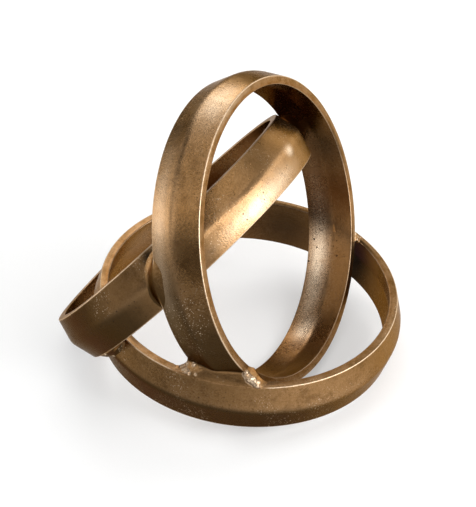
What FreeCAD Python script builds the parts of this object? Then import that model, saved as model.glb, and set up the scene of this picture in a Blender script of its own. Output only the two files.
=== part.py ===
import FreeCAD, Part
import math
import os

# Metal knot sculpture: three equal cast bands, each nested through the next and welded to it.
# Millimetres, +Z up. The origin is on the table, below the middle of the sculpture.
# All three band axes lie in the XZ plane, so the left and right halves in Y mirror each other.
# The base band lies nearly level, the upright band stands on edge, the tilted band leans over.

# Section of a band, the same casting three times
rim_radius = 100.0
band_width = 34.4
rim_thickness = 5.8
ridge_slope_deg = 15.0
ridge_round = 10.0
groove_slope_deg = 10.0
groove_round = 12.0
edge_chamfer = 0.4

# Angles between the band planes, and the place where the upright band enters the base band
upright_angle_deg = 67.6
tilted_angle_deg = 54.1
upright_crossing = 24.2
root_gap = 0.3

# Weld beads, laid along the rim that each nested band leans against. The outset is how far a
# bead sits out from the rim's inner edge.
base_weld_radius = 6.2
base_weld_length = 56.0
base_weld_outset = 2.6
upright_weld_radius = 6.0
upright_weld_length = 32.0
tilted_weld_radius = 5.2
tilted_weld_length = 27.0
back_weld_radius = 4.4
back_weld_length = 25.0
bead_steps = 4
bead_seam_deg = 45.0

# Flats ground on the two bands that stand on the table
flat_depth = 0.8
overrun = 20.0

# Search limits, as shares of the bore radius and as angles, and the number of halvings
crossing_low_share = -0.60
crossing_high_share = 0.20
lean_low_deg = -30.0
lean_high_deg = 40.0
halvings = 50

# Sizes that follow from the section
half_width = band_width / 2
bore_radius = rim_radius - rim_thickness
ridge_slope = math.radians(ridge_slope_deg)
groove_slope = math.radians(groove_slope_deg)


def middle_radius(rim, slope, bend_radius):
    """The radius at mid-width, where the slopes from the two rims meet in an arc."""
    return rim + half_width * math.tan(slope) - bend_radius * (1 / math.cos(slope) - 1)


ridge_radius = middle_radius(rim_radius, ridge_slope, ridge_round)
groove_radius = middle_radius(bore_radius, groove_slope, groove_round)
nest_radius = ridge_radius + root_gap


class Band:
    """One band: its centre, and its tilt about the Y axis."""

    def __init__(self, centre, tilt_deg):
        self.centre = centre
        self.tilt_deg = tilt_deg
        tilt = math.radians(tilt_deg)
        self.axis = FreeCAD.Vector(math.sin(tilt), 0, math.cos(tilt))
        self.along = FreeCAD.Vector(math.cos(tilt), 0, -math.sin(tilt))

    def rim_centre(self, side):
        return self.centre + self.axis * (side * half_width)

    def placement(self):
        turn = FreeCAD.Rotation(FreeCAD.Vector(0, 1, 0), self.tilt_deg)
        return FreeCAD.Placement(self.centre, turn)

    def depth(self):
        """How far the band reaches below its centre."""
        rim = half_width * abs(self.axis.z) + rim_radius * abs(self.axis.x)
        ridge = ridge_radius * abs(self.axis.x)
        return max(rim, ridge)

    def half_length(self):
        """How far the band reaches to each side of its centre in X."""
        rim = half_width * abs(self.axis.x) + rim_radius * abs(self.axis.z)
        ridge = ridge_radius * abs(self.axis.z)
        return max(rim, ridge)

    def bottom(self):
        return self.centre.z - self.depth()


def halve(error, low, high):
    """The value between low and high at which the error changes sign."""
    low_is_negative = error(low) < 0
    for step in range(halvings):
        middle = (low + high) / 2
        if (error(middle) < 0) == low_is_negative:
            low = middle
        else:
            high = middle
    return (low + high) / 2


def nested_band(tilt_deg, outer, side, crossing):
    """A band whose ridge rests in the outer band's rim, both ways in Y from the given crossing."""
    band = Band(outer.rim_centre(side) + outer.along * crossing, tilt_deg)
    reach = math.sqrt(nest_radius ** 2 - bore_radius ** 2 + crossing ** 2)
    band.centre = band.centre - band.along * reach
    return band


def crossing_of(inner, outer, side):
    """Where the inner band's middle plane crosses the outer band's rim, measured on both bands."""
    start = outer.rim_centre(side) - inner.centre
    on_outer = -start.dot(inner.axis) / outer.along.dot(inner.axis)
    on_inner = (start + outer.along * on_outer).dot(inner.along)
    return on_outer, on_inner


def closing_error(crossing, base, upright):
    """How far the base band is from resting in the tilted band, for a place of the tilted band."""
    tilted = nested_band(-tilted_angle_deg, upright, -1, crossing)
    on_tilted, on_base = crossing_of(base, tilted, -1)
    return on_base ** 2 - on_tilted ** 2 - (nest_radius ** 2 - bore_radius ** 2)


def nest_the_bands():
    """Base in tilted, tilted in upright, upright in base, with the base band level."""
    base = Band(FreeCAD.Vector(0, 0, 0), 0)
    upright = nested_band(upright_angle_deg, base, 1, upright_crossing)
    low = crossing_low_share * bore_radius
    high = crossing_high_share * bore_radius
    crossing = halve(lambda value: closing_error(value, base, upright), low, high)
    tilted = nested_band(-tilted_angle_deg, upright, -1, crossing)
    return base, upright, tilted


def leaned(band, lean_deg):
    turn = FreeCAD.Rotation(FreeCAD.Vector(0, 1, 0), lean_deg)
    return Band(turn.multVec(band.centre), band.tilt_deg + lean_deg)


def stand_the_knot(base, upright, tilted):
    """Lean the knot until the upright and the tilted band both stand on the table."""

    def step_between(lean_deg):
        return leaned(upright, lean_deg).bottom() - leaned(tilted, lean_deg).bottom()

    lean_deg = halve(step_between, lean_low_deg, lean_high_deg)
    bands = [leaned(band, lean_deg) for band in (base, upright, tilted)]
    left = min(band.centre.x - band.half_length() for band in bands)
    right = max(band.centre.x + band.half_length() for band in bands)
    floor = min(band.bottom() for band in bands) + flat_depth
    shift = FreeCAD.Vector(-(left + right) / 2, 0, -floor)
    for band in bands:
        band.centre = band.centre + shift
    return bands


def section_point(radius, height):
    return FreeCAD.Vector(radius, 0, height)


def bent_line(rim, middle, bend_radius, slope):
    """One face of the section: two slopes, with an arc where they meet."""
    offset = bend_radius * math.sin(slope)
    drop = bend_radius * (1 - math.cos(slope))
    lower = section_point(middle - drop, -offset)
    upper = section_point(middle - drop, offset)
    return [
        Part.makeLine(section_point(rim, -half_width), lower),
        Part.Arc(lower, section_point(middle, 0), upper).toShape(),
        Part.makeLine(upper, section_point(rim, half_width)),
    ]


def band_blank():
    """The casting about the Z axis: ridge outside, groove inside, flat rims, rims' edges broken."""
    edges = bent_line(rim_radius, ridge_radius, ridge_round, ridge_slope)
    edges += bent_line(bore_radius, groove_radius, groove_round, groove_slope)
    for side in (-1, 1):
        height = side * half_width
        edges.append(Part.makeLine(section_point(bore_radius, height), section_point(rim_radius, height)))
    face = Part.Face(Part.Wire(Part.sortEdges(edges)[0]))
    ring = face.revolve(FreeCAD.Vector(0, 0, 0), FreeCAD.Vector(0, 0, 1), 360)
    return ring.makeChamfer(edge_chamfer, rim_edges(ring))


def rim_edges(solid):
    """The four round edges of the two rims."""
    circles = [edge for edge in solid.Edges if edge.Curve.TypeId == "Part::GeomCircle"]
    level = [edge for edge in circles if edge.BoundBox.ZLength < edge_chamfer]
    return [edge for edge in level if abs(edge.CenterOfMass.z) > half_width - edge_chamfer]


def band_solid(band, blank):
    """A band in its place, ground flat where it would pass through the table."""
    solid = blank.copy()
    solid.Placement = band.placement()
    reach = rim_radius + overrun
    ground = Part.makeBox(2 * reach, 2 * reach, reach)
    ground.translate(FreeCAD.Vector(band.centre.x - reach, -reach, -reach))
    return solid.cut(ground).Solids[0]


def bead_section(spot, outward, radius):
    """A round section of a bead, in quarter arcs that meet clear of the rim's faces."""

    def point(turn_deg):
        turn = math.radians(turn_deg)
        return spot + (outward * math.cos(turn) + FreeCAD.Vector(0, 0, math.sin(turn))) * radius

    arcs = []
    for quarter in range(4):
        first = bead_seam_deg + quarter * 90
        arcs.append(Part.Arc(point(first), point(first + 45), point(first + 90)).toShape())
    return Part.Wire(arcs)


def bead_blank(side, crossing, hand, radius, length, outset):
    """A bead bent along the rim at its crossing, thickest at mid-length and pointed at both ends."""
    middle = math.atan2(hand * math.sqrt(bore_radius ** 2 - crossing ** 2), crossing)
    path_radius = bore_radius + outset
    sections = []
    for step in range(bead_steps + 1):
        share = -math.cos(math.pi * step / bead_steps)
        angle = middle + share * length / 2 / path_radius
        outward = FreeCAD.Vector(math.cos(angle), math.sin(angle), 0)
        spot = outward * path_radius + FreeCAD.Vector(0, 0, side * half_width)
        if step in (0, bead_steps):
            sections.append(Part.Vertex(spot))
        else:
            sections.append(bead_section(spot, outward, radius * math.sqrt(1 - share ** 2)))
    return Part.makeLoft(sections, True, False)


def weld(outer, inner, side, hand, size, rings):
    """The weld metal where the inner band's ridge rests in the outer band's rim."""
    crossing = crossing_of(inner, outer, side)[0]
    bead = bead_blank(side, crossing, hand, *size)
    bead.Placement = outer.placement()
    pieces = bead.cut(rings).Solids
    return max(pieces, key=lambda piece: piece.Volume)


def build():
    base, upright, tilted = stand_the_knot(*nest_the_bands())
    blank = band_blank()
    nodes = {
        "base_ring": band_solid(base, blank),
        "upright_ring": band_solid(upright, blank),
        "tilted_ring": band_solid(tilted, blank),
    }
    rings = list(nodes.values())
    front = -1
    back = 1
    base_weld = (base_weld_radius, base_weld_length, base_weld_outset)
    upright_weld = (upright_weld_radius, upright_weld_length, 0)
    tilted_weld = (tilted_weld_radius, tilted_weld_length, 0)
    back_weld = (back_weld_radius, back_weld_length, 0)
    nodes["weld_upright_base_front"] = weld(base, upright, 1, front, base_weld, rings)
    nodes["weld_upright_base_back"] = weld(base, upright, 1, back, back_weld, rings)
    nodes["weld_tilted_upright_front"] = weld(upright, tilted, -1, front, upright_weld, rings)
    nodes["weld_tilted_upright_back"] = weld(upright, tilted, -1, back, back_weld, rings)
    nodes["weld_base_tilted_front"] = weld(tilted, base, -1, front, tilted_weld, rings)
    nodes["weld_base_tilted_back"] = weld(tilted, base, -1, back, back_weld, rings)
    return nodes, (base, upright, tilted)


def report(nodes, bands):
    for name, band in zip(("base", "upright", "tilted"), bands):
        centre = band.centre
        print(f"{name} band centre {centre.x:.2f} {centre.y:.2f} {centre.z:.2f} tilt {band.tilt_deg:.2f}")
    for name, shape in nodes.items():
        print(f"{name}: {len(shape.Solids)} solid, {shape.Volume:.0f} mm3, valid {shape.isValid()}")


os.makedirs("parts", exist_ok=True)
nodes, bands = build()
report(nodes, bands)
for name, shape in nodes.items():
    shape.exportStep("parts/" + name + ".step")
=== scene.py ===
import math
import bpy
import numpy as np
from mathutils import Matrix, Vector


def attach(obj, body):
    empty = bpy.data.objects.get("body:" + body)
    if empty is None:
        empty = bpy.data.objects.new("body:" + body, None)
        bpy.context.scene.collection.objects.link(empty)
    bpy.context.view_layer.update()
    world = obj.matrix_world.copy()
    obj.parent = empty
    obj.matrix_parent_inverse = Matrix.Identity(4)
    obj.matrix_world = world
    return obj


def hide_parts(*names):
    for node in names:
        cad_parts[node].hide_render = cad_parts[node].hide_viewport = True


# Metal knot sculpture: three cast bands in an antique bronze finish, welded where they touch.
# Metres, +Z up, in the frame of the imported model.
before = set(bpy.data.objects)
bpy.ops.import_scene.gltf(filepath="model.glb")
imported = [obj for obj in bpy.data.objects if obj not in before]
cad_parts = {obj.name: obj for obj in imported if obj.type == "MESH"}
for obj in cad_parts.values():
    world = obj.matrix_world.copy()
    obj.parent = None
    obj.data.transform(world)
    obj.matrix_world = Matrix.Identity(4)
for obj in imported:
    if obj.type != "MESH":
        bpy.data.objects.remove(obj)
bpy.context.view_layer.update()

MM = 0.001

# Section of a band
RIM_RADIUS = 100.0 * MM
BAND_WIDTH = 34.4 * MM
RIM_THICKNESS = 5.8 * MM
RIDGE_SLOPE = math.radians(15.0)
RIDGE_ROUND = 10.0 * MM
GROOVE_SLOPE = math.radians(10.0)
GROOVE_ROUND = 12.0 * MM
EDGE_ROUND = 0.75 * MM
HALF_WIDTH = BAND_WIDTH / 2
BORE_RADIUS = RIM_RADIUS - RIM_THICKNESS

# How finely the bands are built
STEPS_AROUND = 1080
SECTION_STEP = 0.62 * MM
EDGE_STEPS = 5

# Marks on a band's section: how far each fades, as a share of the size that it is measured by
RIM_FADE_SHARE = 0.8
EDGE_FADE_SHARE = 1.5
WALL_FADE_SHARE = 0.2
RIDGE_FADE_SHARE = 0.2

# Hand finish: how far the cast surface dips, and the waves that make up the dips, each with a
# number of repeats round the band and round its section, and a size
WAVE_DEPTH = 0.10 * MM
WAVE_COUNT = 14
REPEATS_AROUND = (2, 26)
REPEATS_ACROSS = (1, 7)
WAVE_SIZES = (0.4, 1.0)
FIRST_SEED = 3

# How far painted shade reaches from a gap between bands, its share of the colour there, and how much
# of it lies on the outside of a band
CREVICE = 27.0 * MM
CREVICE_SHARE = 0.92
CREVICE_OUTSIDE_SHARE = 0.1

# Painted highlights at bright places, in part also taken to be worn by hands or a grinder, chosen
# from the photograph: inside or outside, then the turn round the band and its spread in degrees, the
# height on the section and its spread, and the share
POLISH_AND_HIGHLIGHT_PLACES = {
    "upright_ring": (
        ("inside", 46, 26, -9 * MM, 6 * MM, 1.0),
        ("inside", 14, 8, -6 * MM, 6 * MM, 0.8),
        ("outside", -172, 12, 8 * MM, 10 * MM, 0.6),
        ("outside", -126, 36, -11 * MM, 7 * MM, 0.30),
    ),
    "tilted_ring": (
        ("outside", 9.9, 2.6, -2.3 * MM, 3.0 * MM, 1.0),
        ("outside", -14, 20, -11 * MM, 6 * MM, 0.62),
    ),
    "base_ring": (
        ("inside", 170, 14, 6 * MM, 9 * MM, 0.22),
    ),
}
# Painted shade at dark places where shadows fall, in the same way
SHADE_PLACES = {
    "base_ring": (
        ("inside", 63, 14, 0, 60 * MM, 0.995),
        ("inside", 100, 24, 0, 40 * MM, 0.8),
    ),
    "upright_ring": (
        ("inside", 98, 15, 6 * MM, 20 * MM, 0.8),
    ),
    "tilted_ring": (
        ("outside", -59.5, 3.4, 12.5 * MM, 6.0 * MM, 0.97),
    ),
}

# Camera, at the photograph's viewing angle
CAMERA_PLACE = Vector((0.41138, -0.72816, 0.65540))
CAMERA_AZIMUTH = math.radians(29.03)
CAMERA_ELEVATION = math.radians(34.74)
CAMERA_ROLL = math.radians(4.23)
CAMERA_LENS = 108.29
CAMERA_CLIP = 50.0

RING_NODES = ("base_ring", "upright_ring", "tilted_ring")


class Band:
    """Where a band lies, read from its CAD node: its centre, and its axis in the XZ plane."""

    def __init__(self, node):
        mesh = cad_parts[node].data
        areas = np.array([face.area for face in mesh.polygons])
        places = np.array([face.center for face in mesh.polygons])
        self.centre = (areas[:, None] * places).sum(axis=0) / areas.sum()
        offsets = places - self.centre
        spread = (offsets * areas[:, None]).T @ offsets
        axis = np.linalg.eigh(spread)[1][:, 0]
        self.axis = axis * math.copysign(1, axis[2])
        self.across = np.array([0.0, 1.0, 0.0])
        self.along = np.cross(self.across, self.axis)
        self.along /= np.linalg.norm(self.along)

    def to_world(self, along, across, height):
        turned = np.outer(along, self.along) + np.outer(across, self.across)
        return self.centre + turned + np.outer(height, self.axis)

    def section_place(self, points):
        """Where points lie on the band's section, as radius and height."""
        offsets = points - self.centre
        height = offsets @ self.axis
        radius = np.linalg.norm(offsets - height[..., None] * self.axis, axis=-1)
        return radius, height

    def distance(self, points):
        """Signed distance from the band's surface, in metres, negative inside."""
        radius, height = self.section_place(points)
        blunt = RIDGE_ROUND * math.tan(RIDGE_SLOPE / 2)
        inward = HALF_WIDTH - np.sqrt(height ** 2 + blunt ** 2)
        outside = (radius - RIM_RADIUS - inward * math.tan(RIDGE_SLOPE)) * math.cos(RIDGE_SLOPE)
        inside = (BORE_RADIUS + inward * math.tan(GROOVE_SLOPE) - radius) * math.cos(GROOVE_SLOPE)
        ends = np.abs(height) - HALF_WIDTH
        return np.maximum(np.maximum(outside, inside), ends)

    def beyond_outside(self, points):
        """How far points lie beyond the band's outside, in metres."""
        radius, height = self.section_place(points)
        inward = HALF_WIDTH - np.abs(height)
        return (radius - RIM_RADIUS - inward * math.tan(RIDGE_SLOPE)) * math.cos(RIDGE_SLOPE)


def corner(before, point, after, radius, steps):
    """Points of the arc that rounds a corner of the outline."""
    first = np.subtract(before, point)
    last = np.subtract(after, point)
    first = first / np.linalg.norm(first)
    last = last / np.linalg.norm(last)
    half_angle = math.acos(np.clip(first @ last, -1, 1)) / 2
    reach = radius / math.tan(half_angle)
    middle_way = (first + last) / np.linalg.norm(first + last)
    middle = np.array(point) + middle_way * radius / math.sin(half_angle)
    start = np.array(point) + first * reach - middle
    end = np.array(point) + last * reach - middle
    turn = math.acos(np.clip(start @ end / radius ** 2, -1, 1))
    shares = np.linspace(0, 1, steps + 1)
    weight_start = np.sin((1 - shares) * turn) / math.sin(turn)
    weight_end = np.sin(shares * turn) / math.sin(turn)
    return middle + np.outer(weight_start, start) + np.outer(weight_end, end)


def section_outline():
    """The closed outline of a band's section as (radius, height), with every corner rounded."""
    ridge = RIM_RADIUS + HALF_WIDTH * math.tan(RIDGE_SLOPE)
    groove = BORE_RADIUS + HALF_WIDTH * math.tan(GROOVE_SLOPE)
    corners = [
        (RIM_RADIUS, -HALF_WIDTH, EDGE_ROUND),
        (ridge, 0.0, RIDGE_ROUND),
        (RIM_RADIUS, HALF_WIDTH, EDGE_ROUND),
        (BORE_RADIUS, HALF_WIDTH, EDGE_ROUND),
        (groove, 0.0, GROOVE_ROUND),
        (BORE_RADIUS, -HALF_WIDTH, EDGE_ROUND),
    ]
    rounded = []
    for index, (radius, height, bend) in enumerate(corners):
        before = corners[index - 1][:2]
        after = corners[(index + 1) % len(corners)][:2]
        rounded.append(corner(before, (radius, height), after, bend, EDGE_STEPS))
    points = []
    for index, arc in enumerate(rounded):
        points.extend(arc)
        start = arc[-1]
        end = rounded[(index + 1) % len(rounded)][0]
        count = max(1, round(np.linalg.norm(end - start) / SECTION_STEP))
        points.extend(start + (end - start) * step / count for step in range(1, count))
    return np.array(points)


def outline_normals(points):
    ways = np.roll(points, -1, axis=0) - np.roll(points, 1, axis=0)
    normals = np.stack([ways[:, 1], -ways[:, 0]], axis=1)
    return normals / np.linalg.norm(normals, axis=1)[:, None]


def surface_marks(radius, height):
    """How far places on a band's section are on a rim, on the inside, on an edge, on the ridge."""
    level = np.abs(height)
    rim = np.clip((level - HALF_WIDTH + EDGE_ROUND) / (RIM_FADE_SHARE * EDGE_ROUND), 0, 1)
    groove = (RIM_RADIUS + BORE_RADIUS) / 2 + (HALF_WIDTH - level) * math.tan(GROOVE_SLOPE)
    inside = np.clip((groove - radius) / (WALL_FADE_SHARE * RIM_THICKNESS) + 0.5, 0, 1)
    edge = np.zeros(len(radius))
    for rim_radius in (RIM_RADIUS, BORE_RADIUS):
        gap = np.hypot(radius - rim_radius, level - HALF_WIDTH)
        edge = np.maximum(edge, np.clip(1 - gap / (EDGE_FADE_SHARE * EDGE_ROUND), 0, 1))
    ridge = np.exp(-(height / (RIDGE_FADE_SHARE * HALF_WIDTH)) ** 2) * (1 - inside)
    return {"rim": rim, "inside": inside, "edge": edge, "ridge": ridge}


def waves(turns, places, seed):
    """Shallow dips left by casting and grinding, between minus one and zero."""
    rng = np.random.default_rng(seed)
    total = np.zeros((len(turns), len(places)))
    for _ in range(WAVE_COUNT):
        around = rng.integers(*REPEATS_AROUND)
        across = rng.integers(*REPEATS_ACROSS)
        phase = rng.uniform(0, 2 * math.pi, 2)
        size = rng.uniform(*WAVE_SIZES) / math.sqrt(around)
        part = np.outer(np.cos(around * turns + phase[0]), np.cos(across * places + phase[1]))
        total += size * part
    total /= np.abs(total).max()
    return (total - 1) / 2


def ring_faces(count):
    """The quads between the sections of a band, each section with that many points."""
    first = np.arange(STEPS_AROUND)[:, None] * count
    second = (np.arange(STEPS_AROUND)[:, None] + 1) % STEPS_AROUND * count
    here = np.arange(count)[None, :]
    there = (here + 1) % count
    corners = [first + here, second + here, second + there, first + there]
    return np.stack(corners, axis=-1).reshape(-1, 4)


def ring_mesh(name, node, seed):
    """A band swept round its axis, with the marks that its finish needs."""
    band = BANDS[node]
    outline = section_outline()
    normals = outline_normals(outline)
    turns = np.linspace(0, 2 * math.pi, STEPS_AROUND, endpoint=False)
    places = np.linspace(0, 2 * math.pi, len(outline), endpoint=False)
    dips = waves(turns, places, seed) * WAVE_DEPTH
    radius = outline[None, :, 0] + dips * normals[None, :, 0]
    height = outline[None, :, 1] + dips * normals[None, :, 1]
    along = (radius * np.cos(turns)[:, None]).ravel()
    across = (radius * np.sin(turns)[:, None]).ravel()
    vertices = band.to_world(along, across, height.ravel())
    vertices[:, 2] = np.maximum(vertices[:, 2], 0)
    piece = make_object(name, vertices, ring_faces(len(outline)))
    mark_ring(piece, node, vertices, turns, outline)
    return piece


def mark_ring(piece, node, vertices, turns, outline):
    """Where the finish is worn, has painted highlights or painted shade, and how far round and across
    each vertex lies.
    """
    band = BANDS[node]
    marks = surface_marks(outline[:, 0], outline[:, 1])
    undressed = edges_left(band, vertices)
    for key, values in marks.items():
        values = np.tile(values, STEPS_AROUND)
        add_values(piece, key, values * undressed if key == "edge" else values)
    # Painted highlights, partly wear, at the listed bright places
    polish_and_highlight = places_on_band(POLISH_AND_HIGHLIGHT_PLACES[node], turns, outline, marks["inside"])
    # Painted shade at the listed dark places
    dark = places_on_band(SHADE_PLACES[node], turns, outline, marks["inside"])
    # Painted shade in the gaps between bands and at the listed dark places
    exposed = CREVICE_OUTSIDE_SHARE + (1 - CREVICE_OUTSIDE_SHARE) * marks["inside"]
    crevices = gap_shade(band, vertices) * np.tile(exposed, STEPS_AROUND)
    lengths = np.linalg.norm(np.diff(outline, axis=0), axis=1)
    across = np.concatenate([[0], np.cumsum(lengths)])
    add_values(piece, "polish_and_highlight", polish_and_highlight)
    add_values(piece, "painted_shade", np.maximum(crevices, dark))
    add_values(piece, "way_around", np.repeat(turns * RIM_RADIUS, len(outline)))
    add_values(piece, "way_across", np.tile(across, STEPS_AROUND))


def edges_left(band, vertices):
    """Nought beside the welds of a band whose dressing took the rim's edge off, else one."""
    left = np.ones(len(vertices))
    for bead in BEADS.values():
        if band in (bead.outer, bead.inner):
            left = np.minimum(left, bead.undressed(vertices))
    return left


def gap_shade(band, vertices):
    """How deep places lie in the narrow gaps between bands, where painted shade darkens them."""
    gaps = [other.distance(vertices) for other in BANDS.values() if other is not band]
    near = np.clip(1 - np.minimum(*gaps) / CREVICE, 0, 1)
    return CREVICE_SHARE * near ** 2


def places_on_band(places, turns, outline, inside):
    """How strongly each vertex of a band belongs to one of the listed places."""
    total = np.zeros((len(turns), len(outline)))
    for face, turn_deg, spread_deg, height, height_spread, share in places:
        away = (np.degrees(turns) - turn_deg + 180) % 360 - 180
        around = np.exp(-(away / spread_deg) ** 2)
        across = np.exp(-((outline[:, 1] - height) / height_spread) ** 2)
        across = share * across * (inside if face == "inside" else 1 - inside)
        total = np.maximum(total, np.outer(around, across))
    return total.ravel()


def make_object(name, vertices, faces):
    mesh = bpy.data.meshes.new(name)
    mesh.from_pydata(vertices.tolist(), [], faces.tolist())
    mesh.update()
    mesh.polygons.foreach_set("use_smooth", np.ones(len(mesh.polygons), dtype=bool))
    piece = bpy.data.objects.new(name, mesh)
    bpy.context.scene.collection.objects.link(piece)
    return piece


def add_values(piece, name, values):
    attribute = piece.data.attributes.new(name, "FLOAT", "POINT")
    attribute.data.foreach_set("value", np.asarray(values, dtype=np.float32))


# Weld metal, found as the smooth union of two bands and a bead between them. Each weld sinks a
# little into the bands, so that its fillet runs out below their surface, and ends in a skirt.
VOXEL = 0.42 * MM
SUNK = 0.12 * MM
SKIRT = 1.3 * MM
FAR = 1000 * MM

# How a bead is laid: its lumps' spacing, shake and blend as shares of its radius, how much a smooth
# run's lumps vary, the square of the share that a rough run keeps at its ends, how near to its ends
# the bead is laid as a share of half its length, and the points that stand for its path
SMOOTH_SPACING_SHARE = 0.5
SMOOTH_BLEND_SHARE = 0.8
SMOOTH_VARIATION = 0.1
ROUGH_SPACING_SHARE = 0.35
ROUGH_SHAKE_SHARE = 0.34
ROUGH_BLEND_SHARE = 0.5
ROUGH_END_SHARE = 0.05
LAID_SHARE = 0.97
FEWEST_LUMPS = 7
PATH_POINTS = 21
BOX_POINTS = 9

# Drops of spatter, and how they settle on the metal
SPATTER_SIZES = (0.35 * MM, 0.95 * MM)
SPATTER_SHAKE_SHARE = 0.35
SETTLING_STEPS = 6
LEAST_SLOPE = 1e-9

# How a weld's parts run into each other
LEAST_BLEND_SHARE = 0.05
BEAD_BLEND_SHARE = 0.5
CUT_ROUND = 2.5 * MM
ROUGH_SEAM = 0.5 * MM

# How far a weld's marks fade
PROUD_FADE = 0.8 * MM
ROUGH_FADE = 0.9 * MM
GAP_FADE = 4.0 * MM
CLEAN_ROUND_ROUGH = 5.0 * MM
GAP_SHARE = 0.6


def smooth_union(first, second, blend):
    overlap = np.clip(blend - np.abs(first - second), 0, None) / blend
    return np.minimum(first, second) - overlap ** 2 * blend / 4


def surface_net(values, origin, step):
    """The zero surface of a grid of values: one vertex a cell, one quad for each crossed edge."""
    inside = values < 0
    cells = np.array(values.shape) - 1
    total = np.zeros((*cells, 3))
    count = np.zeros(cells)
    steps = np.array([[x, y, z] for x in (0, 1) for y in (0, 1) for z in (0, 1)])
    for start in steps:
        for axis in range(3):
            if start[axis]:
                continue
            end = start.copy()
            end[axis] = 1
            low = values[tuple(slice(s, s + c) for s, c in zip(start, cells))]
            high = values[tuple(slice(e, e + c) for e, c in zip(end, cells))]
            crossed = (low < 0) != (high < 0)
            share = np.where(crossed, low / np.where(crossed, low - high, 1), 0)
            place = np.broadcast_to(start.astype(float), (*cells, 3)).copy()
            place[..., axis] = share
            total += np.where(crossed[..., None], place, 0)
            count += crossed
    used = count > 0
    index = -np.ones(cells, dtype=int)
    index[used] = np.arange(used.sum())
    vertices = origin + (np.argwhere(used) + total[used] / count[used][:, None]) * step
    quads = []
    for axis in range(3):
        others = [a for a in range(3) if a != axis]
        low = inside[tuple(slice(0, -1) if a == axis else slice(1, -1) for a in range(3))]
        high = inside[tuple(slice(1, None) if a == axis else slice(1, -1) for a in range(3))]
        for crossed, flip in ((low & ~high, False), (~low & high, True)):
            places = np.argwhere(crossed)
            places[:, others] += 1
            ring = []
            for first, second in ((0, 0), (1, 0), (1, 1), (0, 1)):
                cell = places.copy()
                cell[:, others[0]] -= 1 - first
                cell[:, others[1]] -= 1 - second
                ring.append(index[tuple(cell.T)])
            ring = np.stack(ring, axis=1)
            if flip != (axis == 1):
                ring = ring[:, ::-1]
            quads.append(ring)
    return vertices, np.concatenate(quads)


def largest_part(vertices, quads):
    """The largest connected part, without the scraps that the cuts leave inside the bands."""
    label = np.arange(len(vertices))
    settled = False
    while not settled:
        lowest = label.copy()
        np.minimum.at(lowest, quads.ravel(), np.repeat(label[quads].min(axis=1), 4))
        lowest = lowest[lowest]
        settled = bool((lowest == label).all())
        label = lowest
    kept = label == np.bincount(label).argmax()
    index = np.cumsum(kept) - 1
    return vertices[kept], index[quads[kept[quads[:, 0]]]]


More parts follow.
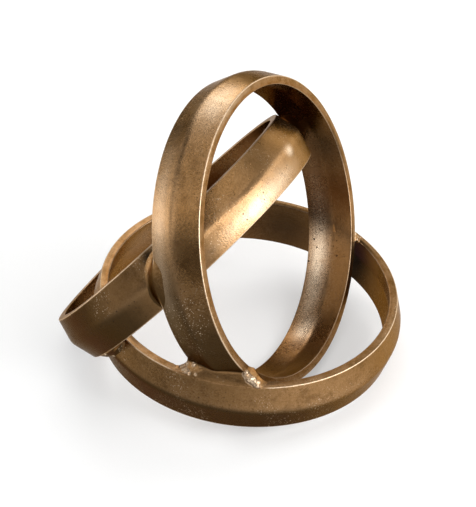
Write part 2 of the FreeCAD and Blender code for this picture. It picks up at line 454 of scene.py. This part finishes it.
class Bead:
    """A weld bead along the rim of an outer band, where an inner band's ridge rests in it.

    The shift moves it along the rim, and shares count from its middle to its ends. The bands run
    into each other over the distance blend, and the weld ends at the distance reach. Rough metal
    lies between the two rough shares, flares outward at one end and rises at the other. The
    dressed metal stands proud of the outer band's outside by no more than proud, and the rims'
    edges are gone within the distance dressed. Each spatter is a range of shares and a count.
    """

    def __init__(self, outer, inner, side, hand, length, radius, blend, reach, seed,
                 outset=0.0, shift=0.0, rough=(1.0, 1.0), rough_size=(0.44, 0.78), flare=0.0,
                 rise=0.0, proud=1.0 * MM, dressed=0.0, spatter=()):
        self.outer = BANDS[outer]
        self.inner = BANDS[inner]
        self.side = side
        self.hand = hand
        self.length = length
        self.radius = radius
        self.blend = blend
        self.reach = reach
        self.outset = outset
        self.shift = shift
        self.rough_size = rough_size
        self.flare = flare
        self.rise = rise
        self.proud = proud
        self.dressed = dressed
        self.rng = np.random.default_rng(seed)
        self.turn = self.middle_turn()
        self.smooth_balls = self.smooth_run()
        self.rough_balls = self.rough_run(*rough)
        for share_low, share_high, count in spatter:
            self.rough_balls += self.spatter(share_low, share_high, count)

    def middle_turn(self):
        """Where the inner band's middle plane crosses the outer band's rim, as an angle."""
        rim_centre = self.outer.centre + self.outer.axis * self.side * HALF_WIDTH
        start = rim_centre - self.inner.centre
        crossing = -(start @ self.inner.axis) / (self.outer.along @ self.inner.axis)
        return math.atan2(self.hand * math.sqrt(BORE_RADIUS ** 2 - crossing ** 2), crossing)

    def path(self, shares):
        path_radius = BORE_RADIUS + self.outset
        turns = self.turn + (shares + self.shift) * self.length / 2 / path_radius
        height = np.full(len(shares), self.side * HALF_WIDTH)
        return self.outer.to_world(path_radius * np.cos(turns), path_radius * np.sin(turns), height)

    def smooth_run(self):
        """Even lumps laid over the whole bead, smaller towards its ends."""
        count = max(FEWEST_LUMPS, int(self.length / (SMOOTH_SPACING_SHARE * self.radius)))
        shares = np.linspace(-LAID_SHARE, LAID_SHARE, count)
        sizes = self.rng.uniform(1 - SMOOTH_VARIATION, 1, count)
        radii = self.radius * np.sqrt(1 - shares ** 2) * sizes
        return list(zip(self.path(shares), radii))

    def rough_run(self, share_low, share_high):
        """Ragged overlapping lumps laid over part of the bead."""
        spacing = ROUGH_SPACING_SHARE * self.radius
        count = int((share_high - share_low) * self.length / spacing)
        shares = np.linspace(share_low, share_high, count)
        flare = np.linspace(0, 1, count)[:, None] * self.flare
        outward = self.path(shares) - self.outer.centre
        outward /= np.linalg.norm(outward, axis=1)[:, None]
        from_middle = 2 * np.linspace(0, 1, count) - 1
        swell = np.sqrt(np.clip(1 + ROUGH_END_SHARE - from_middle ** 2, 0, 1))
        radii = self.radius * swell * self.rng.uniform(*self.rough_size, count)
        shake = self.rng.normal(0, ROUGH_SHAKE_SHARE * self.radius, (count, 3))
        rise = np.linspace(1, 0, count)[:, None] * self.rise * self.outer.axis * self.side
        spots = self.path(shares) + outward * flare + rise
        if self.rise:
            spots = self.settled(spots)
        return list(zip(spots + shake, radii))

    def spatter(self, share_low, share_high, count):
        """Small drops of metal, each half sunk in the surface."""
        shares = self.rng.uniform(share_low, share_high, count)
        shake = self.rng.normal(0, SPATTER_SHAKE_SHARE * self.radius, (count, 3))
        spots = self.settled(self.path(shares) + shake)
        return list(zip(spots, self.rng.uniform(*SPATTER_SIZES, count)))

    def settled(self, spots):
        """The places moved onto the surface of the dressed metal."""
        count = len(spots)
        for _ in range(SETTLING_STEPS):
            value = self.smooth_metal(spots)
            slope = np.empty((count, 3))
            for axis in range(3):
                shift = np.zeros(3)
                shift[axis] = VOXEL
                slope[:, axis] = self.smooth_metal(spots + shift) - self.smooth_metal(spots - shift)
            slope /= np.maximum(np.linalg.norm(slope, axis=1), LEAST_SLOPE)[:, None]
            spots = spots - slope * value[:, None]
        return spots

    def smooth_metal(self, points):
        nearness = 1 - (self.way_from_path(points) / self.reach) ** 2
        feather = np.clip(nearness, LEAST_BLEND_SHARE, 1)
        blend = self.blend * feather
        bands = smooth_union(self.outer.distance(points), self.inner.distance(points), blend)
        bead = np.full(points.shape[:-1], FAR)
        for place, radius in self.smooth_balls:
            ball = np.linalg.norm(points - place, axis=-1) - radius
            bead = smooth_union(bead, ball, SMOOTH_BLEND_SHARE * self.radius)
        return smooth_union(bands, bead, BEAD_BLEND_SHARE * blend)

    def rough_metal(self, points):
        bead = np.full(points.shape[:-1], FAR)
        for place, radius in self.rough_balls:
            ball = np.linalg.norm(points - place, axis=-1) - radius
            bead = smooth_union(bead, ball, ROUGH_BLEND_SHARE * radius)
        return bead

    def way_from_path(self, points):
        gap = np.full(points.shape[:-1], FAR)
        for place in self.path(np.linspace(-1, 1, PATH_POINTS)):
            gap = np.minimum(gap, np.linalg.norm(points - place, axis=-1))
        return gap

    def undressed(self, points):
        """One where the rims' edges are as cast, and nought where dressing the weld took them off."""
        if not self.dressed:
            return np.ones(len(points))
        return np.clip((self.way_from_path(points) - self.dressed) / self.dressed, 0, 1)

    def field(self, points):
        """Signed distance from the weld's surface, about true near it, negative inside."""
        over = self.outer.beyond_outside(points) - self.proud
        dressed = -smooth_union(-self.smooth_metal(points), -over, CUT_ROUND)
        metal = smooth_union(dressed, self.rough_metal(points), ROUGH_SEAM) + SUNK
        surface = np.minimum(self.outer.distance(points), self.inner.distance(points))
        beyond = self.way_from_path(points) - self.reach
        return np.maximum(np.maximum(metal, -surface - SKIRT), beyond)

    def mesh(self, name):
        ends = self.path(np.linspace(-1, 1, BOX_POINTS))
        low = ends.min(axis=0) - self.reach - 2 * VOXEL
        high = ends.max(axis=0) + self.reach + 2 * VOXEL
        counts = np.ceil((high - low) / VOXEL).astype(int)
        grids = [low[axis] + np.arange(counts[axis]) * VOXEL for axis in range(3)]
        points = np.stack(np.meshgrid(*grids, indexing="ij"), axis=-1)
        vertices, quads = largest_part(*surface_net(self.field(points), low, VOXEL))
        piece = make_object(name, vertices, quads)
        for key, values in self.marks(vertices).items():
            add_values(piece, key, values)
        return piece

    def marks(self, vertices):
        """The marks of the nearer band, faded where weld metal stands proud, the roughness, and
        painted shade in the gap between the bands.
        """
        gaps = [band.distance(vertices) for band in (self.outer, self.inner)]
        marks = [surface_marks(*band.section_place(vertices)) for band in (self.outer, self.inner)]
        nearer = gaps[0] < gaps[1]
        proud = np.clip(np.minimum(*gaps) / PROUD_FADE, 0, 1)
        mixed = {key: np.where(nearer, marks[0][key], marks[1][key]) for key in marks[0]}
        for key in ("rim", "edge", "ridge"):
            mixed[key] = mixed[key] * (1 - proud)
        mixed["edge"] = mixed["edge"] * self.undressed(vertices)
        from_rough = self.rough_metal(vertices)
        mixed["rough"] = np.clip(1 - from_rough / ROUGH_FADE, 0, 1)
        # Painted shade where the weld lies in the gap between the bands
        in_gap = np.clip(1 - np.maximum(*gaps) / GAP_FADE, 0, 1)
        away = np.clip(from_rough / CLEAN_ROUND_ROUGH, 0, 1)
        mixed["painted_shade"] = GAP_SHARE * CREVICE_SHARE * in_gap * away
        return mixed


BANDS = {node: Band(node) for node in RING_NODES}


def weld_beads():
    """The six welds. The back ones are plain beads, the front ones are dressed smooth in part."""
    front = -1
    back = 1
    plain = {
        "length": 28 * MM,
        "radius": 3.8 * MM,
        "blend": 4 * MM,
        "reach": 8 * MM,
        "rough": (-0.9, 0.9),
    }
    return {
        "weld_upright_base_front": Bead(
            "base_ring", "upright_ring", 1, front,
            length=40 * MM, radius=2.6 * MM, blend=14 * MM, reach=19 * MM, seed=5,
            outset=0.8 * MM, rough=(0.72, 1.30), rough_size=(0.4, 1.0), flare=4.5 * MM,
            rise=10 * MM, proud=0.15 * MM, dressed=6.5 * MM,
            spatter=((-1.25, -0.6, 26), (-0.1, 0.2, 2))),
        "weld_tilted_upright_front": Bead(
            "upright_ring", "tilted_ring", -1, front,
            length=10 * MM, radius=2.4 * MM, blend=18 * MM, reach=18 * MM, seed=7,
            shift=0.8, rough=(-2.2, -1.9), rough_size=(0.5, 0.7), flare=3 * MM, proud=1.7 * MM),
        "weld_base_tilted_front": Bead(
            "tilted_ring", "base_ring", -1, front,
            length=24 * MM, radius=3.4 * MM, blend=9 * MM, reach=12 * MM, seed=9,
            rough=(0.35, 0.6), spatter=((0.2, 0.8, 3),)),
        "weld_upright_base_back": Bead(
            "base_ring", "upright_ring", 1, back, seed=6,
            shift=-0.45, spatter=((-1.15, -0.8, 6),), **plain),
        "weld_tilted_upright_back": Bead(
            "upright_ring", "tilted_ring", -1, back, seed=8, spatter=((-1, 1, 4),), **plain),
        "weld_base_tilted_back": Bead(
            "tilted_ring", "base_ring", -1, back, seed=10, spatter=((-1, 1, 4),), **plain),
    }


BEADS = weld_beads()


def build_bands():
    for seed, node in enumerate(RING_NODES, FIRST_SEED):
        piece = ring_mesh(node.replace("ring", "band"), node, seed)
        piece.data.materials.append(MATERIALS["cast"])
        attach(piece, "root")
        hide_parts(node)


def build_welds():
    for node, bead in BEADS.items():
        piece = bead.mesh(node.replace("weld_", "bead_"))
        piece.data.materials.append(MATERIALS["weld"])
        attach(piece, "root")
        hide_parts(node)


class Nodes:
    """Short ways to add and join shader nodes."""

    def __init__(self, name):
        self.material = bpy.data.materials.new(name)
        self.material.use_nodes = True
        self.tree = self.material.node_tree
        self.tree.nodes.clear()

    def add(self, kind, **values):
        node = self.tree.nodes.new(kind)
        for key, value in values.items():
            if hasattr(node, key):
                setattr(node, key, value)
            else:
                node.inputs[key.replace("_", " ")].default_value = value
        return node

    def link(self, source, target):
        self.tree.links.new(source, target)

    def value(self, name):
        return self.add("ShaderNodeAttribute", attribute_name=name).outputs["Fac"]

    def put(self, socket, value):
        if isinstance(value, (int, float)):
            socket.default_value = value
        elif isinstance(value, tuple):
            socket.default_value = (*value, 1.0)[:4]
        else:
            self.link(value, socket)

    def maths(self, operation, first, second=0.0, clamp=False):
        node = self.add("ShaderNodeMath", operation=operation, use_clamp=clamp)
        self.put(node.inputs[0], first)
        self.put(node.inputs[1], second)
        return node.outputs[0]

    def ramp(self, value, low, high, to_low=0.0, to_high=1.0):
        """The value's place between low and high, eased, as a number from to_low to to_high."""
        node = self.add("ShaderNodeMapRange", interpolation_type="SMOOTHSTEP")
        self.put(node.inputs["Value"], value)
        node.inputs["From Min"].default_value = low
        node.inputs["From Max"].default_value = high
        node.inputs["To Min"].default_value = to_low
        node.inputs["To Max"].default_value = to_high
        return node.outputs["Result"]

    def mix(self, share, first, second, blend="MIX"):
        node = self.add("ShaderNodeMix", data_type="RGBA", blend_type=blend)
        self.put(node.inputs[0], share)
        self.put(node.inputs[6], first)
        self.put(node.inputs[7], second)
        return node.outputs[2]

    def noise(self, place, scale, detail, roughness):
        node = self.add("ShaderNodeTexNoise")
        node.inputs["Scale"].default_value = scale
        node.inputs["Detail"].default_value = detail
        node.inputs["Roughness"].default_value = roughness
        self.link(place, node.inputs["Vector"])
        return node.outputs["Fac"]

    def cells(self, place, scale):
        node = self.add("ShaderNodeTexVoronoi")
        node.inputs["Scale"].default_value = scale
        self.link(place, node.inputs["Vector"])
        return node.outputs["Distance"]


# Colours of the finish, as linear light
BRONZE = (0.225, 0.114, 0.038)
GOLDEN = (0.315, 0.174, 0.071)
BROWN = (0.096, 0.043, 0.010)
RUSSET = (0.230, 0.098, 0.024)
# Dark colour of the painted shade on facets that face down
PAINTED_SHADE_OLIVE = (0.026, 0.014, 0.004)
OCHRE = (0.410, 0.256, 0.138)
# Pale cream of worn metal, also used for the painted highlights
WORN_AND_HIGHLIGHT = (0.680, 0.525, 0.370)
# Black of pits, also used for the painted shade in gaps
PIT_AND_SHADE_BLACK = (0.006, 0.004, 0.002)
EDGE_TINT = (0.60, 0.46, 0.33)

# How much of a colour lies over those below it
RUSSET_SHARE = 0.62
RIDGE_SHARE = 0.25
SPECKLE_SHARE = 0.65
STREAK_SHARE = 0.40
SHADE_SHARE = 0.93
SPECK_SHARE = 0.65
PIT_SHARE = 0.88
ROUGH_SHARE = 0.55
CREST_SHARE = 0.9
HOLLOW_SHARE = 0.5

# The way in which the metal faces where the painted shade is deepest
SHADED_WAY = (-0.2, -0.6, -0.75)

# Patterns of the finish: how often each repeats in a metre, how many finer layers it has, and how
# strong each of them is beside the one before it
CLOUDS = (16.0, 5.0, 0.6)
BLOTCHES = (110.0, 6.0, 0.65)
SAND_PATCHES = (24.0, 3.0, 0.55)
GRAIN = (800.0, 4.0, 0.7)
FINE_GRAIN = (2200.0, 2.0, 0.6)
PIT_PATCHES = (38.0, 2.0, 0.55)
LARGE_PIT_PATCHES = (21.0, 1.0, 0.55)
SPECK_PATCHES = (31.0, 2.0, 0.55)
SPECKS = (1050.0, 2.0, 0.55)
STREAKS = (1500.0, 3.0, 0.7)
LUMPS = (430.0, 4.0, 0.6)

# Patterns of round dots: how often each repeats in a metre, and how strong the small ones are
SMALL_PITS = 330.0
LARGE_PITS = 120.0
SMALL_PIT_STRENGTH = 0.7

# How far the pattern of the streaks is stretched along the band, and how much of it shows outside
STREAK_STRETCH = 0.045
STREAKS_OUTSIDE = 0.15

# Ranges of a pattern's value over which a mark goes from 0 to 1, or from the third number to the
# fourth where there are four. Of the satin range, those two are the metal's roughness.
SANDY_RANGE = (0.42, 0.62, 0.35, 1.0)
SPECKLE_RANGE = (0.50, 0.70)
PIT_PATCH_RANGE = (0.50, 0.62)
SMALL_PIT_RANGE = (0.20, 0.07)
LARGE_PIT_PATCH_RANGE = (0.60, 0.66)
LARGE_PIT_RANGE = (0.100, 0.055)
SPECK_PATCH_RANGE = (0.50, 0.60)
SPECK_RANGE = (0.63, 0.69)
STREAK_PATCH_RANGE = (0.44, 0.58)
STREAK_RANGE = (0.54, 0.72)
SHADE_RANGE = (0.12, 0.62)
INNER_SHADE_RANGE = (-0.25, -0.95, 0.0, 0.6)
GOLDEN_RANGE = (0.35, 0.66)
BROWN_RANGE = (0.48, 0.70, 0.0, 0.5)
PALE_RIM_RANGE = (0.38, 0.62, 0.42, 0.0)
DARK_GRAIN_RANGE = (0.47, 0.33, 0.0, 0.75)
DARK_FINE_RANGE = (0.56, 0.40, 0.0, 0.25)
POLISH_AND_HIGHLIGHT_RANGE = (0.30, 0.55, 0.60, 0.95)
WORN_EDGE_RANGE = (0.30, 0.90)
WORN_GRAIN_RANGE = (0.30, 0.55, 0.45, 0.9)
SATIN_RANGE = (0.3, 0.7, 0.24, 0.31)
CREST_RANGE = (0.44, 0.62)
HOLLOW_RANGE = (0.46, 0.34)

# Relief of the finish, in millimetres
GRAIN_OUTSIDE = 0.36
GRAIN_INSIDE = 0.12
FINE_RELIEF = 0.03
BLOTCH_RELIEF = 0.10
SPECK_RELIEF = 0.05
STREAK_RELIEF = 0.07
PIT_RELIEF = 0.35
LUMP_RELIEF = 0.7

# Gloss of the metal, and what its patterns add to its roughness
SPECKLE_ROUGHNESS = 0.08
RIM_ROUGHNESS = 0.08
PIT_ROUGHNESS = 0.3
POLISH_GLOSS = 0.10
RELIEF_STRENGTH = 0.8
WAX_WEIGHT = 0.08
WAX_ROUGHNESS = 0.16
WAX_IOR = 1.5


class Finish:
    """Satin antique bronze on sand-cast metal: worn bright on the edges, with painted shade
    underneath and painted highlights in listed places.
    """

    def __init__(self, n):
        self.n = n
        self.place = n.add("ShaderNodeTexCoord").outputs["Object"]
        self.normal = n.add("ShaderNodeSeparateXYZ")
        n.link(n.add("ShaderNodeNewGeometry").outputs["Normal"], self.normal.inputs[0])
        self.rim = n.value("rim")
        self.inside = n.value("inside")
        self.edge = n.value("edge")
        self.ridge = n.value("ridge")
        self.painted_shade = n.value("painted_shade")
        self.polish_and_highlight = n.value("polish_and_highlight")
        self.clouds = n.noise(self.place, *CLOUDS)
        self.blotches = n.noise(self.place, *BLOTCHES)
        self.sandy = n.ramp(n.noise(self.place, *SAND_PATCHES), *SANDY_RANGE)
        self.grain = n.noise(self.place, *GRAIN)
        self.fine = n.noise(self.place, *FINE_GRAIN)
        self.speckle = n.maths("MULTIPLY", n.ramp(self.grain, *SPECKLE_RANGE), self.sandy)
        self.pits = self.pit_marks()
        self.specks = self.speck_marks()
        self.streaks = self.grinding_marks()

    def pit_marks(self):
        n = self.n
        where_small = n.ramp(n.noise(self.place, *PIT_PATCHES), *PIT_PATCH_RANGE)
        small_dots = n.ramp(n.cells(self.place, SMALL_PITS), *SMALL_PIT_RANGE)
        small = n.maths("MULTIPLY", small_dots, where_small)
        where_large = n.ramp(n.noise(self.place, *LARGE_PIT_PATCHES), *LARGE_PIT_PATCH_RANGE)
        large_dots = n.ramp(n.cells(self.place, LARGE_PITS), *LARGE_PIT_RANGE)
        large = n.maths("MULTIPLY", large_dots, where_large)
        return n.maths("MAXIMUM", n.maths("MULTIPLY", small, SMALL_PIT_STRENGTH), large)

    def speck_marks(self):
        n = self.n
        where = n.ramp(n.noise(self.place, *SPECK_PATCHES), *SPECK_PATCH_RANGE)
        spots = n.ramp(n.noise(self.place, *SPECKS), *SPECK_RANGE)
        outside = n.maths("SUBTRACT", 1.0, self.inside)
        return n.maths("MULTIPLY", n.maths("MULTIPLY", spots, where), outside)

    def grinding_marks(self):
        """Fine streaks that run along the band, mostly on its inside."""
        n = self.n
        stretched = n.add("ShaderNodeCombineXYZ")
        along = n.maths("MULTIPLY", n.value("way_around"), STREAK_STRETCH)
        n.link(along, stretched.inputs[0])
        n.link(n.value("way_across"), stretched.inputs[1])
        where = n.ramp(self.blotches, *STREAK_PATCH_RANGE)
        lines = n.ramp(n.noise(stretched.outputs[0], *STREAKS), *STREAK_RANGE)
        share = n.maths("MULTIPLY", self.inside, 1 - STREAKS_OUTSIDE)
        share = n.maths("ADD", share, STREAKS_OUTSIDE)
        return n.maths("MULTIPLY", n.maths("MULTIPLY", lines, where), share)

    def shade(self):
        """How dark the painted shade is: deep outside on the shaded way, and inside where it faces
        down.
        """
        n = self.n
        facing = n.add("ShaderNodeVectorMath", operation="DOT_PRODUCT")
        n.link(n.add("ShaderNodeNewGeometry").outputs["Normal"], facing.inputs[0])
        facing.inputs[1].default_value = SHADED_WAY
        away = n.ramp(facing.outputs["Value"], *SHADE_RANGE)
        away = n.maths("MULTIPLY", away, n.maths("SUBTRACT", 1.0, self.inside))
        under = n.ramp(self.normal.outputs[2], *INNER_SHADE_RANGE)
        under = n.maths("MULTIPLY", under, self.inside)
        outside = n.maths("SUBTRACT", 1.0, self.rim)
        return n.maths("MULTIPLY", n.maths("ADD", away, under), outside)

    def colour(self):
        """The cast colours, then the marks of casting, then painted shade, then wear and painted
        highlights, then black pits with painted shade in gaps.
        """
        n = self.n
        colour = n.mix(n.ramp(self.clouds, *GOLDEN_RANGE), BRONZE, GOLDEN)
        colour = n.mix(n.ramp(self.blotches, *BROWN_RANGE), colour, BROWN)
        colour = n.mix(n.maths("MULTIPLY", self.inside, RUSSET_SHARE), colour, RUSSET)
        colour = n.mix(n.maths("MULTIPLY", self.ridge, RIDGE_SHARE), colour, OCHRE)
        patches = n.ramp(self.blotches, *PALE_RIM_RANGE)
        colour = n.mix(n.maths("MULTIPLY", self.rim, patches), colour, OCHRE)
        colour = n.mix(n.maths("MULTIPLY", self.speckle, SPECKLE_SHARE), colour, OCHRE)
        dark_grain = n.ramp(self.grain, *DARK_GRAIN_RANGE)
        colour = n.mix(n.maths("MULTIPLY", dark_grain, self.sandy), colour, BROWN)
        colour = n.mix(n.ramp(self.fine, *DARK_FINE_RANGE), colour, BROWN)
        colour = n.mix(n.maths("MULTIPLY", self.streaks, STREAK_SHARE), colour, OCHRE)
        # Painted shade: darker where the metal faces down and along the shaded way
        colour = n.mix(n.maths("MULTIPLY", self.shade(), SHADE_SHARE), colour, PAINTED_SHADE_OLIVE)
        # Painted highlights, partly wear: the listed bright places turn pale cream
        cloudy = n.ramp(self.blotches, *POLISH_AND_HIGHLIGHT_RANGE)
        colour = n.mix(n.maths("MULTIPLY", self.polish_and_highlight, cloudy), colour, WORN_AND_HIGHLIGHT)
        grainy = n.ramp(self.grain, *WORN_GRAIN_RANGE)
        worn = n.maths("MULTIPLY", n.ramp(self.edge, *WORN_EDGE_RANGE), grainy)
        colour = n.mix(worn, colour, WORN_AND_HIGHLIGHT)
        colour = n.mix(n.maths("MULTIPLY", self.specks, SPECK_SHARE), colour, WORN_AND_HIGHLIGHT)
        # Black in pits, and painted shade in gaps and at the listed dark places
        dark = n.maths("MAXIMUM", n.maths("MULTIPLY", self.pits, PIT_SHARE), self.painted_shade)
        return n.mix(dark, colour, PIT_AND_SHADE_BLACK)

    def roughness(self):
        n = self.n
        rough = n.ramp(self.clouds, *SATIN_RANGE)
        rough = n.maths("ADD", rough, n.maths("MULTIPLY", self.speckle, SPECKLE_ROUGHNESS))
        rough = n.maths("ADD", rough, n.maths("MULTIPLY", self.rim, RIM_ROUGHNESS))
        rough = n.maths("ADD", rough, n.maths("MULTIPLY", self.pits, PIT_ROUGHNESS))
        return n.maths("SUBTRACT", rough, n.maths("MULTIPLY", self.polish_and_highlight, POLISH_GLOSS))

    def height(self):
        """Relief in millimetres."""
        n = self.n
        grain_depth = n.ramp(self.inside, 0.0, 1.0, GRAIN_OUTSIDE, GRAIN_INSIDE)
        height = n.maths("MULTIPLY", n.maths("MULTIPLY", self.grain, self.sandy), grain_depth)
        height = n.maths("ADD", height, n.maths("MULTIPLY", self.fine, FINE_RELIEF))
        height = n.maths("ADD", height, n.maths("MULTIPLY", self.blotches, BLOTCH_RELIEF))
        height = n.maths("ADD", height, n.maths("MULTIPLY", self.specks, SPECK_RELIEF))
        height = n.maths("SUBTRACT", height, n.maths("MULTIPLY", self.streaks, STREAK_RELIEF))
        return n.maths("SUBTRACT", height, n.maths("MULTIPLY", self.pits, PIT_RELIEF))


def metal(n, colour, roughness, height):
    bump = n.add("ShaderNodeBump")
    bump.inputs["Strength"].default_value = RELIEF_STRENGTH
    bump.inputs["Distance"].default_value = 1.0 * MM
    n.link(height, bump.inputs["Height"])
    shader = n.add("ShaderNodeBsdfPrincipled")
    shader.inputs["Metallic"].default_value = 1.0
    shader.inputs["Specular Tint"].default_value = (*EDGE_TINT, 1)
    shader.inputs["Coat Weight"].default_value = WAX_WEIGHT
    shader.inputs["Coat Roughness"].default_value = WAX_ROUGHNESS
    shader.inputs["Coat IOR"].default_value = WAX_IOR
    n.link(colour, shader.inputs["Base Color"])
    n.link(roughness, shader.inputs["Roughness"])
    n.link(bump.outputs[0], shader.inputs["Normal"])
    n.link(bump.outputs[0], shader.inputs["Coat Normal"])
    output = n.add("ShaderNodeOutputMaterial")
    n.link(shader.outputs[0], output.inputs[0])
    return n.material


def cast_bronze():
    n = Nodes("cast_bronze")
    finish = Finish(n)
    return metal(n, finish.colour(), finish.roughness(), finish.height())


def weld_bronze():
    """Weld metal: dressed smooth it looks as the bands do, left rough it is bright and ragged."""
    n = Nodes("weld_bronze")
    finish = Finish(n)
    rough = n.value("rough")
    lumps = n.noise(finish.place, *LUMPS)
    crest = n.maths("MULTIPLY", rough, n.ramp(lumps, *CREST_RANGE))
    hollow = n.maths("MULTIPLY", rough, n.ramp(lumps, *HOLLOW_RANGE))
    colour = n.mix(n.maths("MULTIPLY", rough, ROUGH_SHARE), finish.colour(), WORN_AND_HIGHLIGHT)
    colour = n.mix(n.maths("MULTIPLY", crest, CREST_SHARE), colour, WORN_AND_HIGHLIGHT)
    colour = n.mix(n.maths("MULTIPLY", hollow, HOLLOW_SHARE), colour, BROWN)
    relief = n.maths("MULTIPLY", n.maths("MULTIPLY", rough, lumps), LUMP_RELIEF)
    height = n.maths("ADD", finish.height(), relief)
    return metal(n, colour, finish.roughness(), height)


# The floor: its size, how far it lies below the sculpture, its colour and how much that varies,
# and the share of plain white that is seen of it
FLOOR_SIZE = 8000 * MM
FLOOR_DROP = 0.2 * MM
FLOOR_COLOUR = (0.92, 0.92, 0.92)
FLOOR_FIBRES = (900.0, 3.0, 0.55)
FIBRE_RANGE = (0.3, 0.7)
FIBRE_SHADE = 0.98
FLOOR_ROUGHNESS = 0.9
FLOOR_SPECULAR = 0.2
FLOOR_GLOW = 0.38


def build_floor():
    """A pale floor. Part of what is seen of it is plain white, so that the shadow stays light."""
    corners = np.array([(-1, -1), (1, -1), (1, 1), (-1, 1)]) * FLOOR_SIZE / 2
    vertices = np.column_stack([corners, np.full(4, -FLOOR_DROP)])
    floor = make_object("floor", vertices, np.array([[0, 1, 2, 3]]))
    n = Nodes("floor_paper")
    place = n.add("ShaderNodeTexCoord").outputs["Object"]
    fibre = n.noise(place, *FLOOR_FIBRES)
    paper = n.add("ShaderNodeBsdfPrincipled")
    paper.inputs["Roughness"].default_value = FLOOR_ROUGHNESS
    paper.inputs["Specular IOR Level"].default_value = FLOOR_SPECULAR
    shaded = tuple(FIBRE_SHADE * channel for channel in FLOOR_COLOUR)
    colour = n.mix(n.ramp(fibre, *FIBRE_RANGE), FLOOR_COLOUR, shaded)
    n.link(colour, paper.inputs["Base Color"])
    white = n.add("ShaderNodeEmission")
    rays = n.add("ShaderNodeLightPath").outputs
    seen = n.maths("MAXIMUM", rays["Is Camera Ray"], rays["Is Glossy Ray"])
    seen = n.maths("MAXIMUM", seen, rays["Is Transmission Ray"])
    mix = n.add("ShaderNodeMixShader")
    n.link(n.maths("MULTIPLY", seen, FLOOR_GLOW), mix.inputs[0])
    n.link(paper.outputs[0], mix.inputs[1])
    n.link(white.outputs[0], mix.inputs[2])
    output = n.add("ShaderNodeOutputMaterial")
    n.link(mix.outputs[0], output.inputs[0])
    floor.data.materials.append(n.material)


# Soft studio light. Each panel hangs at a direction and a distance from the sculpture's middle:
# azimuth from +Y towards +X, elevation, distance, width, height, and brightness, where 1 is white
LIGHT_CENTRE = Vector((0, 0, 100 * MM))
PANELS = (
    ("key_panel", 88, 13, 1.3, 1.0, 0.8, 5.3),
    ("right_panel", 116, 33, 1.3, 0.6, 0.6, 4.8),
    ("back_right_panel", 45, 18, 1.3, 0.8, 0.7, 2.1),
    ("back_left_panel", -36, 38, 1.3, 0.7, 0.6, 3.3),
    ("left_panel", -104, 4, 1.3, 0.8, 0.5, 2.3),
    ("back_panel", 8, 12, 1.5, 1.1, 1.0, 1.15),
    ("low_left_panel", -153, 42, 1.4, 0.50, 0.90, 1.9),
    ("left_wide_panel", -112, 21, 1.5, 2.1, 1.1, 0.75),
    ("top_panel", 0, 88, 1.5, 1.2, 1.2, 1.7),
)


def direction(azimuth_deg, elevation_deg):
    azimuth = math.radians(azimuth_deg)
    elevation = math.radians(elevation_deg)
    level = math.cos(elevation)
    return Vector((math.sin(azimuth) * level, math.cos(azimuth) * level, math.sin(elevation)))


def build_lights():
    for name, azimuth, elevation, distance, width, height, brightness in PANELS:
        data = bpy.data.lights.new(name, "AREA")
        data.shape = "RECTANGLE"
        data.size = width
        data.size_y = height
        data.energy = brightness * math.pi * width * height
        panel = bpy.data.objects.new(name, data)
        away = direction(azimuth, elevation)
        panel.location = LIGHT_CENTRE + away * distance
        panel.rotation_euler = away.to_track_quat("Z", "Y").to_euler()
        panel.visible_camera = False
        bpy.context.scene.collection.objects.link(panel)


# The room: pale on the way to its bright side, darker on the other, and where the one fades into
# the other, as the cosine of the angle from that way
ROOM_BRIGHT = (0.50, 0.50, 0.48)
ROOM_DARK = (0.20, 0.20, 0.20)
ROOM_WAY = direction(55, 12)
ROOM_FADE = (-0.35, 0.75)


def build_room():
    world = bpy.data.worlds.new("studio")
    bpy.context.scene.world = world
    world.use_nodes = True
    tree = world.node_tree
    tree.nodes.clear()
    place = tree.nodes.new("ShaderNodeTexCoord")
    dot = tree.nodes.new("ShaderNodeVectorMath")
    dot.operation = "DOT_PRODUCT"
    dot.inputs[1].default_value = ROOM_WAY
    tree.links.new(place.outputs["Generated"], dot.inputs[0])
    share = tree.nodes.new("ShaderNodeMapRange")
    share.interpolation_type = "SMOOTHSTEP"
    share.inputs["From Min"].default_value = ROOM_FADE[0]
    share.inputs["From Max"].default_value = ROOM_FADE[1]
    tree.links.new(dot.outputs["Value"], share.inputs["Value"])
    mix = tree.nodes.new("ShaderNodeMix")
    mix.data_type = "RGBA"
    mix.inputs[6].default_value = (*ROOM_DARK, 1)
    mix.inputs[7].default_value = (*ROOM_BRIGHT, 1)
    tree.links.new(share.outputs["Result"], mix.inputs[0])
    background = tree.nodes.new("ShaderNodeBackground")
    tree.links.new(mix.outputs[2], background.inputs["Color"])
    output = tree.nodes.new("ShaderNodeOutputWorld")
    tree.links.new(background.outputs[0], output.inputs[0])


def build_camera():
    data = bpy.data.cameras.new("camera")
    data.lens = CAMERA_LENS
    camera = bpy.data.objects.new("camera", data)
    level = math.cos(CAMERA_ELEVATION)
    across = math.sin(CAMERA_AZIMUTH) * level
    behind = -math.cos(CAMERA_AZIMUTH) * level
    back = Vector((across, behind, math.sin(CAMERA_ELEVATION)))
    turn = (-back).to_track_quat("-Z", "Y").to_matrix().to_4x4()
    roll = Matrix.Rotation(-CAMERA_ROLL, 4, "Z")
    camera.matrix_world = Matrix.Translation(CAMERA_PLACE) @ turn @ roll
    data.clip_end = CAMERA_CLIP
    bpy.context.scene.collection.objects.link(camera)
    bpy.context.scene.camera = camera


MATERIALS = {"cast": cast_bronze(), "weld": weld_bronze()}
build_bands()
build_welds()
build_floor()
build_lights()
build_room()
build_camera()
bpy.context.scene.view_settings.view_transform = "Standard"
